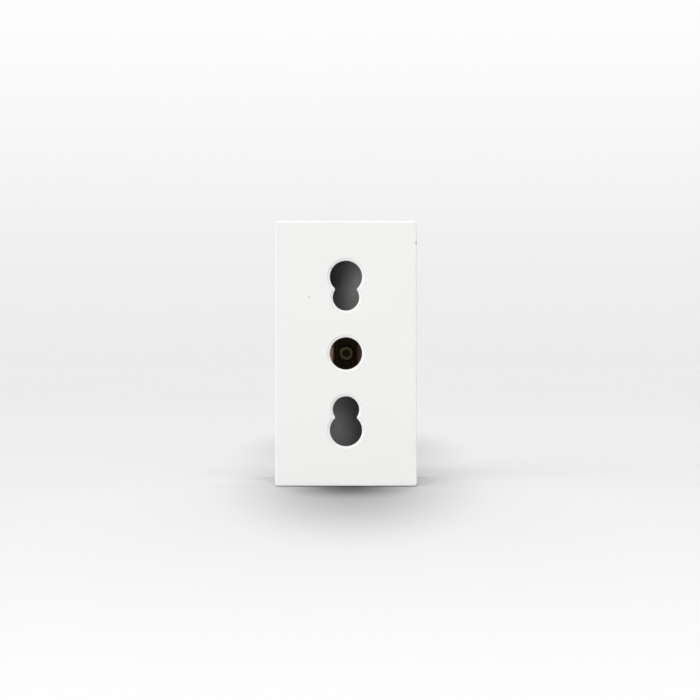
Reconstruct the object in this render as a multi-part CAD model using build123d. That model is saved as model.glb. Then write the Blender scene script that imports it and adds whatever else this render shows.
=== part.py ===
from build123d import *
import os
from math import hypot, sqrt

# One module of a two-pitch wall socket with an earth contact, a turning safety shutter and screw terminals.
# Millimetres. X runs to the right, Y into the wall and Z up. The face lies at Y = 0 and the axis of the
# earth hole is the Y axis. The lower half repeats the upper half, turned half a turn about that axis.

# Plug pins that the module takes
LARGE_PITCH = 26.0
SMALL_PITCH = 19.0
LARGE_PIN_D = 5.0
SMALL_PIN_D = 4.0
PIN_PLAY = 0.5
PIN_LENGTH = 19.0

# Front cover: face, bezel and the skirt that snaps into the support frame
BEZEL_W = 24.0
BEZEL_H = 44.8
BEZEL_D = 9.0
BEZEL_WALL = 1.5
BEZEL_CORNER_R = 0.4
FACE_T = 2.0
FACE_EDGE_R = 0.3
RIM_BEVEL = 0.45
NECK_R = 0.3
SHOULDER_X = 0.8
SHOULDER_Z = 1.5
SKIRT_WALL = 1.3
SKIRT_CORNER_R = 1.2
SKIRT_L = 15.0

# Snap tongues on the top and bottom of the skirt, and the frame sheet that they hold
FRAME_GAP = 2.2
TONGUE_W = 9.0
TONGUE_L = 11.0
TONGUE_LEAD = 0.4
TONGUE_SLOT = 0.8
TONGUE_FLEX = 1.2
BARB_H = 1.0
BARB_LAND = 0.6
BARB_L = 5.0
BARB_INSET = 0.5

# Hooks of the rear housing and the skirt windows that they catch in
HOOK_Z = 12.0
HOOK_W = 4.0
HOOK_L = 2.4
HOOK_H = 1.0
HOOK_LAND = 0.6
HOOK_END = 3.6
HOOK_PLAY = 0.15

# Shutter: a hub with two sloped blades, turning on the tube of the inner plate
SHUTTER_D = 5.8
SHUTTER_PLAY = 0.4
TURN_PLAY = 0.08
RAMP_D = 5.0
BLADE_LAP = 0.45
BLADE_WALL = 1.1
HUB_WALL = 1.4
HUB_D = 4.0
ARM_REACH = 7.2
ARM_H = 1.3
ARM_DROP = 1.0

# Torsion spring of the shutter
WIRE_D = 0.42
COIL_PLAY = 0.2
COIL_TURNS = 3
COIL_END_GAP = 0.2
LEG_X = 7.0
LEG_GAP = 0.06

# Inner plate with the pivot tube, stops, spring peg and locating pegs
INNER_T = 1.8
TUBE_BORE_R = 3.5
TUBE_WALL = 1.0
TUBE_GAP = 0.3
APERTURE_PLAY = 0.3
STOP_R = 0.8
STOP_H = 1.2
STOP_PLAY = 0.12
SPRING_PEG_R = 0.6
SPRING_PEG_X = 6.0
PEG_R = 1.0
PEG_L = 3.0
PEG_EDGE = 2.2
PEG_PLAY = 0.06
PLUG_PLAY = 0.1

# Contact clips, bent from spring bronze sheet
CLIP_T = 0.5
CLIP_BEND_R = 0.6
PIN_TIP_ROOM = 3.4
GRIP = 0.5
FINGER_EDGE = 1.6
FINGER_SLIT = 0.5
FINGER_TIP_GAP = 0.6
FINGER_THROAT_Y = 3.4
FINGER_ROOT_Y = 3.0
CLIP_ROOT_X = 2.7
FINGER_TIP_X = 3.3
WEB_X = 2.3
EARTH_LEAF_H = 2.7
EARTH_ROOT_H = 5.2
EARTH_TIP_Y = 4.3
EARTH_TIP_X = 2.7
EARTH_FLARE_Y = 5.2
EARTH_FLARE_X = 1.9
EARTH_THROAT_Y = 9.0

# Terminal strips and the rivets that join them to the clips
STRIP_T = 0.8
STRIP_H = 6.2
STRIP_BEND_R = 0.3
RIVET_R = 1.0
RIVET_HEAD_R = 1.4
RIVET_HEAD_H = 0.5
RIVET_BORE_R = 0.7
RIVET_PLAY = 0.03

# Terminals: folded cage, wire clamp plate and screw
WIRE_X = -0.4
WIRE_GAP = 4.4
WIRE_H = 7.4
CAGE_T = 0.9
CAGE_NUT_T = 1.6
CAGE_L = 7.0
CAGE_ROOM = 1.6
CAGE_CORNER_R = 0.9
CAGE_FOLD_R = 0.25
CAGE_SEAM = 0.25
CLAMP_T = 1.0
CLAMP_PLAY = 0.2
CLAMP_GROOVES = 3
CLAMP_GROOVE_D = 0.25
SCREW_R = 1.75
SCREW_PLAY = 0.05
SCREW_TRAVEL = 4.0
SCREW_TIP_GAP = 0.05
SCREW_TIP_BEVEL = 0.4
SCREW_HEAD_R = 3.0
SCREW_HEAD_H = 1.9
SCREW_HEAD_EDGE_R = 0.5
SCREW_HEAD_GAP = 0.2
SLOT_W = 0.9
SLOT_D = 1.0
CROSS_L = 3.4
CROSS_D = 1.4

# Rear housing
WELL_PLAY = 0.2
REAR_WALL = 4.0
REAR_CORNER_R = 1.5
REAR_BEVEL = 2.4
ENTRY_PLAY = 0.2
ENTRY_CORNER_R = 0.8
ENTRY_BEVEL = 0.8
SCREW_WELL_PLAY = 0.3
CORE_W = 2.2
CORE_H = 7.6
CORE_WALL = 1.5

# Overrun of the tools that cut openings
CUT = 1.0

# Pins and holes
LARGE_Z = LARGE_PITCH / 2
SMALL_Z = SMALL_PITCH / 2
LARGE_HOLE_R = (LARGE_PIN_D + PIN_PLAY) / 2
SMALL_HOLE_R = (SMALL_PIN_D + PIN_PLAY) / 2
EARTH_HOLE_R = LARGE_HOLE_R

# Widths and heights of the skirt, of its inside and of what plugs into it
SKIRT_W = BEZEL_W - 2 * SHOULDER_X
SKIRT_H = BEZEL_H - 2 * SHOULDER_Z
INSIDE_W = SKIRT_W - 2 * SKIRT_WALL
INSIDE_H = SKIRT_H - 2 * SKIRT_WALL
PLUG_W = INSIDE_W - 2 * PLUG_PLAY
PLUG_H = INSIDE_H - 2 * PLUG_PLAY

# Depths along Y, front to back
STEP_Y = BEZEL_D - SKIRT_WALL
SKIRT_Y1 = BEZEL_D + SKIRT_L
TONGUE_SLOT_Y = BEZEL_D + TONGUE_LEAD
TONGUE_Y0 = TONGUE_SLOT_Y + TONGUE_SLOT
TONGUE_Y1 = TONGUE_Y0 + TONGUE_L
BARB_Y0 = BEZEL_D + FRAME_GAP
HOOK_Y1 = SKIRT_Y1 - HOOK_END
HOOK_Y0 = HOOK_Y1 - HOOK_L
SHUTTER_Y0 = FACE_T + SHUTTER_PLAY
SHUTTER_Y1 = SHUTTER_Y0 + SHUTTER_D
HUB_Y1 = SHUTTER_Y0 + HUB_D
INNER_Y0 = SHUTTER_Y1 + SHUTTER_PLAY
INNER_Y1 = INNER_Y0 + INNER_T
TUBE_Y0 = FACE_T + TUBE_GAP
FINGER_TIP_Y = INNER_Y1 + FINGER_TIP_GAP
WEB_Y0 = PIN_LENGTH + PIN_TIP_ROOM
STRIP_Y0 = WEB_Y0 + CLIP_T
STRIP_Y1 = STRIP_Y0 + STRIP_T
CAGE_Y0 = STRIP_Y1 + RIVET_HEAD_H + CAGE_ROOM
CAGE_Y1 = CAGE_Y0 + CAGE_L
SCREW_Y = (CAGE_Y0 + CAGE_Y1) / 2
WELL_Y1 = CAGE_Y1 + WELL_PLAY
REAR_Y1 = WELL_Y1 + REAR_WALL

# Terminal positions along X, from the blind side to the screw side
TAIL_X1 = WIRE_X - WIRE_GAP / 2
TAIL_X0 = TAIL_X1 - STRIP_T
CAGE_X0 = TAIL_X0 - CAGE_T
CLAMP_X0 = WIRE_X + WIRE_GAP / 2
CLAMP_X1 = CLAMP_X0 + CLAMP_T
NUT_X0 = CLAMP_X1 + CLAMP_PLAY
NUT_X1 = NUT_X0 + CAGE_NUT_T
HEAD_X0 = NUT_X1 + SCREW_TRAVEL + SCREW_HEAD_GAP
HEAD_X1 = HEAD_X0 + SCREW_HEAD_H
WELL_X0 = CAGE_X0 - WELL_PLAY
WELL_X1 = NUT_X1 + WELL_PLAY

# Heights of the terminals and their wells
TERMINAL_Z = (LARGE_Z + LARGE_PIN_D / 2 + SMALL_Z - SMALL_PIN_D / 2) / 2
RIVET_Z = (LARGE_Z + SMALL_Z) / 2
CAGE_H = WIRE_H + 2 * CAGE_T
WELL_H = CAGE_H + 2 * WELL_PLAY

# Shutter radii
TUBE_R = TUBE_BORE_R + TUBE_WALL
HUB_BORE_R = TUBE_R + TURN_PLAY
HUB_R = HUB_BORE_R + HUB_WALL
BLADE_LARGE_R = LARGE_HOLE_R + BLADE_LAP
BLADE_SMALL_R = SMALL_HOLE_R + BLADE_LAP
COIL_R = TUBE_R + COIL_PLAY + WIRE_D / 2
COIL_ROOM_R = hypot(COIL_R + WIRE_D / 2, BLADE_SMALL_R) + COIL_PLAY
COIL_Y0 = HUB_Y1 + COIL_END_GAP + WIRE_D / 2
COIL_Y1 = INNER_Y0 - COIL_END_GAP - WIRE_D / 2

HALF_TURNS = (0, 180)


def span(x0, x1, y0, y1, z0, z1):
    """Block between the given planes."""
    middle = Pos((x0 + x1) / 2, (y0 + y1) / 2, (z0 + z1) / 2)
    return middle * Box(x1 - x0, y1 - y0, z1 - z0)


def at_depth(outline, y):
    """Front-view outline (x, z) placed at depth y."""
    return Plane(origin=(0, y, 0), x_dir=(1, 0, 0), z_dir=(0, -1, 0)) * outline


def deep(outline, y0, y1):
    """Front-view outline (x, z) run from depth y0 to depth y1."""
    return extrude(at_depth(outline, y1), y1 - y0)


def rod_y(radius, y0, y1, x=0, z=0):
    """Round bar along Y."""
    start = Plane(origin=(x, y0, z), z_dir=(0, 1, 0))
    return Part() + Solid.make_cylinder(radius, y1 - y0, start)


def rod_x(radius, x0, x1, y, z):
    """Round bar along X."""
    start = Plane(origin=(x0, y, z), z_dir=(1, 0, 0))
    return Part() + Solid.make_cylinder(radius, x1 - x0, start)


def both_halves(shape):
    """The shape and its copy, turned half a turn about the earth axis."""
    return [Rot(0, angle, 0) * shape for angle in HALF_TURNS]


def keyhole(large_r, small_r, neck_r):
    """Outline of the upper pin opening: two round lobes that run into each other over rounded necks."""
    gap = LARGE_Z - SMALL_Z
    reach = large_r + neck_r
    along = (gap**2 + reach**2 - (small_r + neck_r) ** 2) / (2 * gap)
    neck_x = sqrt(reach**2 - along**2)
    neck_z = LARGE_Z - along
    corners = [(0, LARGE_Z), (-neck_x, neck_z), (0, SMALL_Z), (neck_x, neck_z)]
    waist = make_face(Polyline(*corners, close=True))
    for x in (-neck_x, neck_x):
        waist -= Pos(x, neck_z) * Circle(neck_r)
    return waist + Pos(0, LARGE_Z) * Circle(large_r) + Pos(0, SMALL_Z) * Circle(small_r)


def rim(radius, z):
    """Bevel around a round hole in the face."""
    start = Plane(origin=(0, -RIM_BEVEL, z), z_dir=(0, 1, 0))
    return Part() + Solid.make_cone(radius + 2 * RIM_BEVEL, radius, 2 * RIM_BEVEL, start)


def bent_sheet(points, bend_r, thickness, side, z0, z1):
    """Sheet strip that follows the points in plan, between the heights z0 and z1."""
    run = FilletPolyline(*points, radius=bend_r)
    section = make_face(offset(run, thickness, side=side).edges())
    return extrude(Pos(0, 0, z0) * section, z1 - z0, dir=(0, 0, 1))


def front_cover():
    """White cover: flat face with the pin openings, bezel, stepped skirt with snap tongues and windows."""
    bezel = deep(RectangleRounded(BEZEL_W, BEZEL_H, BEZEL_CORNER_R), 0, BEZEL_D)
    bezel = fillet(bezel.faces().sort_by(Axis.Y)[0].edges(), FACE_EDGE_R)
    cover = bezel + deep(RectangleRounded(SKIRT_W, SKIRT_H, SKIRT_CORNER_R), FACE_T, SKIRT_Y1)
    hollow_w = BEZEL_W - 2 * BEZEL_WALL
    hollow_h = BEZEL_H - 2 * BEZEL_WALL
    cover -= deep(Rectangle(hollow_w, hollow_h), FACE_T, STEP_Y)
    cover -= deep(Rectangle(INSIDE_W, INSIDE_H), FACE_T, SKIRT_Y1 + CUT)

    cover -= rod_y(EARTH_HOLE_R, -CUT, FACE_T + CUT) + rim(EARTH_HOLE_R, 0)
    pins = deep(keyhole(LARGE_HOLE_R, SMALL_HOLE_R, NECK_R), -CUT, FACE_T + CUT)
    pins += rim(LARGE_HOLE_R, LARGE_Z) + rim(SMALL_HOLE_R, SMALL_Z)
    for opening in both_halves(pins):
        cover -= opening

    slot_x = TONGUE_W / 2 + TONGUE_SLOT
    wall_z0 = INSIDE_H / 2 - CUT
    wall_z1 = SKIRT_H / 2 + CUT
    slots = span(-slot_x, slot_x, TONGUE_SLOT_Y, TONGUE_Y1, wall_z0, wall_z1)
    slots -= span(-TONGUE_W / 2, TONGUE_W / 2, TONGUE_Y0, TONGUE_Y1, wall_z0, wall_z1)
    root_z = (SKIRT_H + INSIDE_H) / 4
    tip_z = SKIRT_H / 2 + BARB_H
    ridge_y = BARB_Y0 + BARB_LAND
    end_y = BARB_Y0 + BARB_L
    corners = [(BARB_Y0, root_z), (BARB_Y0, tip_z), (ridge_y, tip_z), (end_y, SKIRT_H / 2), (end_y, root_z)]
    barb_w = TONGUE_W - 2 * BARB_INSET
    barb = extrude(Plane.YZ * make_face(Polyline(*corners, close=True)), barb_w / 2, both=True)
    for cutter in both_halves(slots):
        cover -= cutter
    for snap in both_halves(barb):
        cover += snap

    half_w = HOOK_W / 2 + HOOK_PLAY
    window_y0 = HOOK_Y0 - HOOK_PLAY
    window_y1 = HOOK_Y1 + HOOK_PLAY
    for level in (-HOOK_Z, HOOK_Z):
        cover -= span(-BEZEL_W, BEZEL_W, window_y0, window_y1, level - half_w, level + half_w)
    return cover


def inner_plate():
    """Black plate over the contact wells, with the pivot tube, shutter stops, spring peg and pegs."""
    plate = deep(Rectangle(PLUG_W, PLUG_H), INNER_Y0, INNER_Y1)
    relief_x = TONGUE_W / 2 + TONGUE_SLOT
    relief = span(-relief_x, relief_x, INNER_Y0, INNER_Y1, PLUG_H / 2 - TONGUE_FLEX, PLUG_H / 2)
    passage = keyhole(LARGE_HOLE_R + APERTURE_PLAY, SMALL_HOLE_R + APERTURE_PLAY, NECK_R)
    for opening in both_halves(deep(passage, INNER_Y0, INNER_Y1) + relief):
        plate -= opening
    plate += rod_y(TUBE_R, TUBE_Y0, INNER_Y1)

    stop_x = BLADE_LARGE_R + STOP_PLAY + STOP_R
    for stop in both_halves(rod_y(STOP_R, SHUTTER_Y1 - STOP_H, INNER_Y1, x=-stop_x, z=LARGE_Z)):
        plate += stop
    peg_z = COIL_R + WIRE_D / 2 + LEG_GAP + SPRING_PEG_R
    plate += rod_y(SPRING_PEG_R, COIL_Y1 - CUT, INNER_Y1, x=SPRING_PEG_X, z=-peg_z)
    for x, z in peg_places():
        plate += rod_y(PEG_R, INNER_Y0, INNER_Y1 + PEG_L, x=x, z=z)
    return plate - rod_y(TUBE_BORE_R, TUBE_Y0 - CUT, INNER_Y1 + CUT)


def peg_places():
    """Centres of the four locating pegs in front view."""
    x = PLUG_W / 2 - PEG_EDGE
    z = PLUG_H / 2 - PEG_EDGE
    return [(-x, -z), (-x, z), (x, -z), (x, z)]


def shutter():
    """Dark grey shutter: hub, two blades with sloped fronts, and the arm that the spring leg pushes."""
    lobes = Pos(0, LARGE_Z) * Circle(BLADE_LARGE_R) + Pos(0, SMALL_Z) * Circle(BLADE_SMALL_R)
    outline = make_hull(lobes.edges()) + Pos(0, SMALL_Z / 2) * Rectangle(2 * BLADE_SMALL_R, SMALL_Z)
    blade = deep(outline, SHUTTER_Y0, SHUTTER_Y1)

    slope = RAMP_D / (2 * BLADE_LARGE_R)
    far_x = BLADE_LARGE_R + CUT
    front_y = SHUTTER_Y0 - slope * CUT
    back_y = SHUTTER_Y0 + RAMP_D + slope * CUT
    ahead = make_face(Polyline((far_x, front_y), (-far_x, back_y), (-far_x, front_y), close=True))
    blade -= extrude(ahead, LARGE_PITCH, dir=(0, 0, 1))

    core_x1 = BLADE_LARGE_R - BLADE_WALL
    core_x0 = -core_x1 / 2
    core_y = SHUTTER_Y0 + BLADE_WALL + slope * BLADE_LARGE_R
    corners = [
        (core_x0, SHUTTER_Y1 + CUT),
        (core_x0, core_y - slope * core_x0),
        (core_x1, core_y - slope * core_x1),
        (core_x1, SHUTTER_Y1 + CUT),
    ]
    core = extrude(make_face(Polyline(*corners, close=True)), LARGE_Z - SMALL_Z, dir=(0, 0, 1))
    blade -= Pos(0, 0, SMALL_Z) * core

    body = rod_y(HUB_R, SHUTTER_Y0, HUB_Y1)
    for part in both_halves(blade):
        body += part
    arm_z = COIL_R + WIRE_D / 2 + LEG_GAP
    body += span(-ARM_REACH, 0, HUB_Y1 - ARM_DROP, COIL_Y0 + ARM_DROP / 2, -arm_z - ARM_H, -arm_z)
    body -= rod_y(HUB_BORE_R, SHUTTER_Y0 - CUT, SHUTTER_Y1 + CUT)
    return body - rod_y(COIL_ROOM_R, HUB_Y1, SHUTTER_Y1 + CUT)


def shutter_spring():
    """Torsion spring of one wire: close coils around the tube between two straight legs."""
    height = COIL_Y1 - COIL_Y0
    coil = Helix(height / COIL_TURNS, height, COIL_R, lefthand=True)
    frame = Plane(origin=(0, COIL_Y1, 0), x_dir=(0, 0, -1), z_dir=(0, -1, 0))
    turns = frame.location * coil
    fixed_leg = Line(turns @ 0 - turns % 0 * LEG_X, turns @ 0)
    moving_leg = Line(turns @ 1, turns @ 1 + turns % 1 * LEG_X)
    section = Plane(origin=fixed_leg @ 0, z_dir=turns % 0) * Circle(WIRE_D / 2)
    return sweep(section, path=Wire([fixed_leg, turns, moving_leg]))


def clip_run(side_points):
    """Both sides of a clip, from the left tip over the web to the right tip."""
    left = [(-x, y) for x, y in side_points]
    return left + list(reversed(side_points))


def pin_clip():
    """Upper clip: one web and, for each pin pitch, a pair of fingers."""
    root = [(CLIP_ROOT_X, WEB_Y0 - FINGER_ROOT_Y), (WEB_X, WEB_Y0)]
    slit_z0 = RIVET_Z - FINGER_SLIT / 2
    slit_z1 = RIVET_Z + FINGER_SLIT / 2
    throat_y = FINGER_TIP_Y + FINGER_THROAT_Y
    bands = [
        (SMALL_PIN_D, SMALL_Z - FINGER_EDGE, slit_z0),
        (LARGE_PIN_D, slit_z1, LARGE_Z + FINGER_EDGE),
    ]
    clip = bent_sheet(clip_run(root), CLIP_BEND_R, CLIP_T, Side.LEFT, slit_z0, slit_z1)
    for pin_d, z0, z1 in bands:
        finger = [(FINGER_TIP_X, FINGER_TIP_Y), ((pin_d - GRIP) / 2, throat_y)] + root
        clip += bent_sheet(clip_run(finger), CLIP_BEND_R, CLIP_T, Side.LEFT, z0, z1)
    return clip - rod_y(RIVET_R + RIVET_PLAY, WEB_Y0 - CUT, STRIP_Y0 + CUT, z=RIVET_Z)


def earth_clip():
    """Earth clip: two narrow leaves that reach forward through the tube, on a wider root."""
    root = [(CLIP_ROOT_X, WEB_Y0 - FINGER_ROOT_Y), (WEB_X, WEB_Y0)]
    throat = ((SMALL_PIN_D - GRIP) / 2, EARTH_THROAT_Y)
    leaf = [(EARTH_TIP_X, EARTH_TIP_Y), (EARTH_FLARE_X, EARTH_FLARE_Y), throat] + root
    half_leaf = EARTH_LEAF_H / 2
    half_root = EARTH_ROOT_H / 2
    clip = bent_sheet(clip_run(root), CLIP_BEND_R, CLIP_T, Side.LEFT, -half_root, half_root)
    clip += bent_sheet(clip_run(leaf), CLIP_BEND_R, CLIP_T, Side.LEFT, -half_leaf, half_leaf)
    return clip - rod_y(RIVET_R + RIVET_PLAY, WEB_Y0 - CUT, STRIP_Y0 + CUT)


def rivet(z):
    """Semi-tubular rivet through the web of a clip and its terminal strip."""
    body = rod_y(RIVET_R, WEB_Y0 - RIVET_HEAD_H, STRIP_Y1 + RIVET_HEAD_H, z=z)
    for y0 in (WEB_Y0 - RIVET_HEAD_H, STRIP_Y1):
        body += rod_y(RIVET_HEAD_R, y0, y0 + RIVET_HEAD_H, z=z)
    ends = body.faces().sort_by(Axis.Y)
    body = chamfer(ends[0].edges() + ends[-1].edges(), RIVET_HEAD_H / 2)
    return body - rod_y(RIVET_BORE_R, WEB_Y0 - RIVET_HEAD_H - CUT, STRIP_Y0, z=z)


def terminal_strip(z, rivet_z):
    """Brass strip: a flange behind the web and a tail through the cage."""
    points = [(WEB_X, STRIP_Y0), (TAIL_X0, STRIP_Y0), (TAIL_X0, WELL_Y1)]
    z0 = z - STRIP_H / 2
    strip = bent_sheet(points, STRIP_T + STRIP_BEND_R, STRIP_T, Side.RIGHT, z0, z0 + STRIP_H)
    return strip - rod_y(RIVET_R + RIVET_PLAY, STRIP_Y0 - CUT, STRIP_Y1 + CUT, z=rivet_z)


def terminal_cage(z):
    """Folded cage around the tail; its doubled side carries the thread."""
    outer = Pos((CAGE_X0 + NUT_X1) / 2, z) * RectangleRounded(NUT_X1 - CAGE_X0, CAGE_H, CAGE_CORNER_R)
    inner = Pos((TAIL_X0 + NUT_X0) / 2, z) * RectangleRounded(NUT_X0 - TAIL_X0, WIRE_H, CAGE_FOLD_R)
    cage = deep(outer - inner, CAGE_Y0, CAGE_Y1)
    cage -= rod_x(SCREW_R + SCREW_PLAY, NUT_X0 - CUT, NUT_X1 + CUT, SCREW_Y, z)
    seam_z = z - CAGE_H / 2 + CAGE_CORNER_R
    seam_x = (NUT_X0 + NUT_X1) / 2
    return cage - span(seam_x, NUT_X1 + CUT, CAGE_Y0, CAGE_Y1, seam_z, seam_z + CAGE_SEAM)


def clamp_plate(z):
    """Plate that the screw drives onto the wires, with grooves on the wire side."""
    half_h = WIRE_H / 2 - CLAMP_PLAY
    y0 = CAGE_Y0 + CLAMP_PLAY
    y1 = CAGE_Y1 - CLAMP_PLAY
    plate = span(CLAMP_X0, CLAMP_X1, y0, y1, z - half_h, z + half_h)
    step = (y1 - y0) / (CLAMP_GROOVES + 1)
    for number in range(CLAMP_GROOVES):
        y = y0 + step * (number + 1)
        points = [
            (CLAMP_X0, y - CLAMP_GROOVE_D),
            (CLAMP_X0 + CLAMP_GROOVE_D, y),
            (CLAMP_X0, y + CLAMP_GROOVE_D),
        ]
        groove = make_face(Polyline(*points, close=True))
        plate -= extrude(Pos(0, 0, z - half_h) * groove, 2 * half_h, dir=(0, 0, 1))
    return plate


def terminal_screw(z):
    """Terminal screw with a round head and a combined slot and cross drive."""
    head = rod_x(SCREW_HEAD_R, HEAD_X0, HEAD_X1, SCREW_Y, z)
    head = fillet(head.faces().sort_by(Axis.X)[-1].edges(), SCREW_HEAD_EDGE_R)
    shank = rod_x(SCREW_R, CLAMP_X1 + SCREW_TIP_GAP, HEAD_X0, SCREW_Y, z)
    shank = chamfer(shank.faces().sort_by(Axis.X)[0].edges(), SCREW_TIP_BEVEL)
    half_slot = SLOT_W / 2
    half_cross = CROSS_L / 2
    top = HEAD_X1 + CUT
    reach = SCREW_HEAD_R + CUT
    slot = span(HEAD_X1 - SLOT_D, top, SCREW_Y - reach, SCREW_Y + reach, z - half_slot, z + half_slot)
    wing_y = span(
        HEAD_X1 - CROSS_D, top, SCREW_Y - half_cross, SCREW_Y + half_cross, z - half_slot, z + half_slot
    )
    wing_z = span(
        HEAD_X1 - CROSS_D, top, SCREW_Y - half_slot, SCREW_Y + half_slot, z - half_cross, z + half_cross
    )
    return head + shank - slot - wing_y - wing_z


def rear_block():
    """Rear part of the housing behind the skirt, bevelled along its top and bottom edge."""
    half_h = SKIRT_H / 2
    bevel_y = REAR_Y1 - REAR_BEVEL
    bevel_z = half_h - REAR_BEVEL
    corners = [
        (SKIRT_Y1, -half_h),
        (bevel_y, -half_h),
        (REAR_Y1, -bevel_z),
        (REAR_Y1, bevel_z),
        (bevel_y, half_h),
        (SKIRT_Y1, half_h),
    ]
    side = extrude(Plane.YZ * make_face(Polyline(*corners, close=True)), SKIRT_W, both=True)
    return side & deep(RectangleRounded(SKIRT_W, SKIRT_H, REAR_CORNER_R), SKIRT_Y1, REAR_Y1)


def wire_entry(z):
    """Opening for two wires in the rear wall, with a bevelled mouth."""
    width = WIRE_GAP + 2 * ENTRY_PLAY
    height = WIRE_H + 2 * ENTRY_PLAY
    throat = Pos(WIRE_X, z) * RectangleRounded(width, height, ENTRY_CORNER_R)
    grown = 2 * ENTRY_BEVEL
    mouth = Pos(WIRE_X, z) * RectangleRounded(width + grown, height + grown, ENTRY_CORNER_R + ENTRY_BEVEL)
    funnel = loft([at_depth(throat, REAR_Y1 - ENTRY_BEVEL), at_depth(mouth, REAR_Y1)])
    return deep(throat, WELL_Y1, REAR_Y1 + CUT) + funnel


def rear_housing():
    """Dark housing: plug inside the skirt, three terminal wells, wire entries, screw wells and hooks."""
    housing = rear_block() + deep(Rectangle(PLUG_W, PLUG_H), INNER_Y1, SKIRT_Y1)
    core_x0 = WELL_X0 - CORE_WALL
    core_x1 = WELL_X1 + CORE_WALL
    half_core = CORE_H / 2
    well_r = SCREW_HEAD_R + SCREW_WELL_PLAY
    core_y1 = SCREW_Y - well_r - CORE_WALL
    for z in (-TERMINAL_Z, 0, TERMINAL_Z):
        housing -= span(WELL_X0, WELL_X1, INNER_Y1, WELL_Y1, z - WELL_H / 2, z + WELL_H / 2)
        housing -= span(core_x0 - CORE_W, core_x0, INNER_Y1, WELL_Y1, z - half_core, z + half_core)
        housing -= span(core_x1, core_x1 + CORE_W, INNER_Y1, core_y1, z - half_core, z + half_core)
        housing -= wire_entry(z)
        housing -= rod_x(well_r, NUT_X1, SKIRT_W, SCREW_Y, z)

    relief_x = TONGUE_W / 2 + TONGUE_SLOT
    relief = span(-relief_x, relief_x, INNER_Y1, TONGUE_Y1 + CUT, PLUG_H / 2 - TONGUE_FLEX, PLUG_H / 2)
    for cutter in both_halves(relief):
        housing -= cutter
    for x, z in peg_places():
        housing -= rod_y(PEG_R + PEG_PLAY, INNER_Y1, INNER_Y1 + PEG_L + PEG_PLAY, x=x, z=z)

    foot = PLUG_W / 2
    tip = foot + HOOK_H
    points = [(foot, HOOK_Y0), (tip, HOOK_Y1 - HOOK_LAND), (tip, HOOK_Y1), (foot, HOOK_Y1)]
    for level in (-HOOK_Z, HOOK_Z):
        start = Pos(0, 0, level - HOOK_W / 2)
        hook = extrude(start * make_face(Polyline(*points, close=True)), HOOK_W, dir=(0, 0, 1))
        for catch in both_halves(hook):
            housing += catch
    return housing


def module():
    """All pieces of the module by name."""
    lower = Rot(0, HALF_TURNS[1], 0)
    pieces = {
        "front_cover": front_cover(),
        "inner_plate": inner_plate(),
        "rear_housing": rear_housing(),
        "shutter": shutter(),
        "shutter_spring": shutter_spring(),
        "line_clip": pin_clip(),
        "neutral_clip": lower * pin_clip(),
        "earth_clip": earth_clip(),
        "contact_rivets": Compound(children=[rivet(z) for z in (-RIVET_Z, 0, RIVET_Z)]),
    }
    terminals = {"line": TERMINAL_Z, "earth": 0, "neutral": -TERMINAL_Z}
    rivets = {"line": RIVET_Z, "earth": 0, "neutral": -RIVET_Z}
    for pole, z in terminals.items():
        pieces[pole + "_strip"] = terminal_strip(z, rivets[pole])
        pieces[pole + "_cage"] = terminal_cage(z)
        pieces[pole + "_clamp"] = clamp_plate(z)
        pieces[pole + "_screw"] = terminal_screw(z)
    return pieces


os.makedirs("parts", exist_ok=True)
for name, piece in module().items():
    export_step(piece, os.path.join("parts", name + ".step"))
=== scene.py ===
"""Looks of a two-pitch wall socket module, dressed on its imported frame.

Most solids keep their shapes and get their finishes here. The terminal screws, the terminal strips
and the shutter's return spring are modelled again, with their threads, drives, ears and wire.
"""

import logging
import math
from dataclasses import dataclass
from enum import Enum
from typing import Any, ClassVar

import bmesh
import bpy
from mathutils import Matrix, Vector


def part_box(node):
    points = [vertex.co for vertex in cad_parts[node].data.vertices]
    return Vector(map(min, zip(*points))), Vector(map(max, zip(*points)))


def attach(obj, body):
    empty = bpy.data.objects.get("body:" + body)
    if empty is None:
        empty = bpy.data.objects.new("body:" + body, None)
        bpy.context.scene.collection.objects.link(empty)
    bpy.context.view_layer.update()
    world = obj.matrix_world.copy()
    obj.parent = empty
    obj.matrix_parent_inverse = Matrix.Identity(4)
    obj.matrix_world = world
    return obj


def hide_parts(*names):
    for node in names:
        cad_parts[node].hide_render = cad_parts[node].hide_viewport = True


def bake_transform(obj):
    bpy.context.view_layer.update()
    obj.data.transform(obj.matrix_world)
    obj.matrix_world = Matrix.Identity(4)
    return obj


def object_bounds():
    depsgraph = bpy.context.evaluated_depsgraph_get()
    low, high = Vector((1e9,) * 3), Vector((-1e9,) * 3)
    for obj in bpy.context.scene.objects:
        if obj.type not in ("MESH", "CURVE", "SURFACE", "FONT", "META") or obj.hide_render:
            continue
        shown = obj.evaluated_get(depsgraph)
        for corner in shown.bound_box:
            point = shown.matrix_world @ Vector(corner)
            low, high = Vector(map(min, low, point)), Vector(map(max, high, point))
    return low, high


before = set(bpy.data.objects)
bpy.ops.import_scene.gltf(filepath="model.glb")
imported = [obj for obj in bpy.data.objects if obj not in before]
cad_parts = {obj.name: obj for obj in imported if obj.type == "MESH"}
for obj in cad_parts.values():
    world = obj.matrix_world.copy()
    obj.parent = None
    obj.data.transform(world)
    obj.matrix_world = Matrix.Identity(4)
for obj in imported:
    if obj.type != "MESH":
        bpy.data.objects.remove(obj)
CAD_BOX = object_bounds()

LOG = logging.getLogger("socket_module")

MM = 0.001
FULL_TURN = 2 * math.pi
MERGE_DISTANCE = 1e-7  # corners this near to each other are one
PLANE_DISTANCE = 1e-5  # corners this near to a plane lie in it
SHARP_ANGLE = 35.0  # degrees past which an edge stays sharp
NOISE_MEAN = 0.5

Colour = tuple[float, float, float]
Point = tuple[float, float, float]
Span = tuple[float, float]
Tones = tuple[tuple[float, float], ...]
Sockets = dict[str | int, Any]


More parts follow.
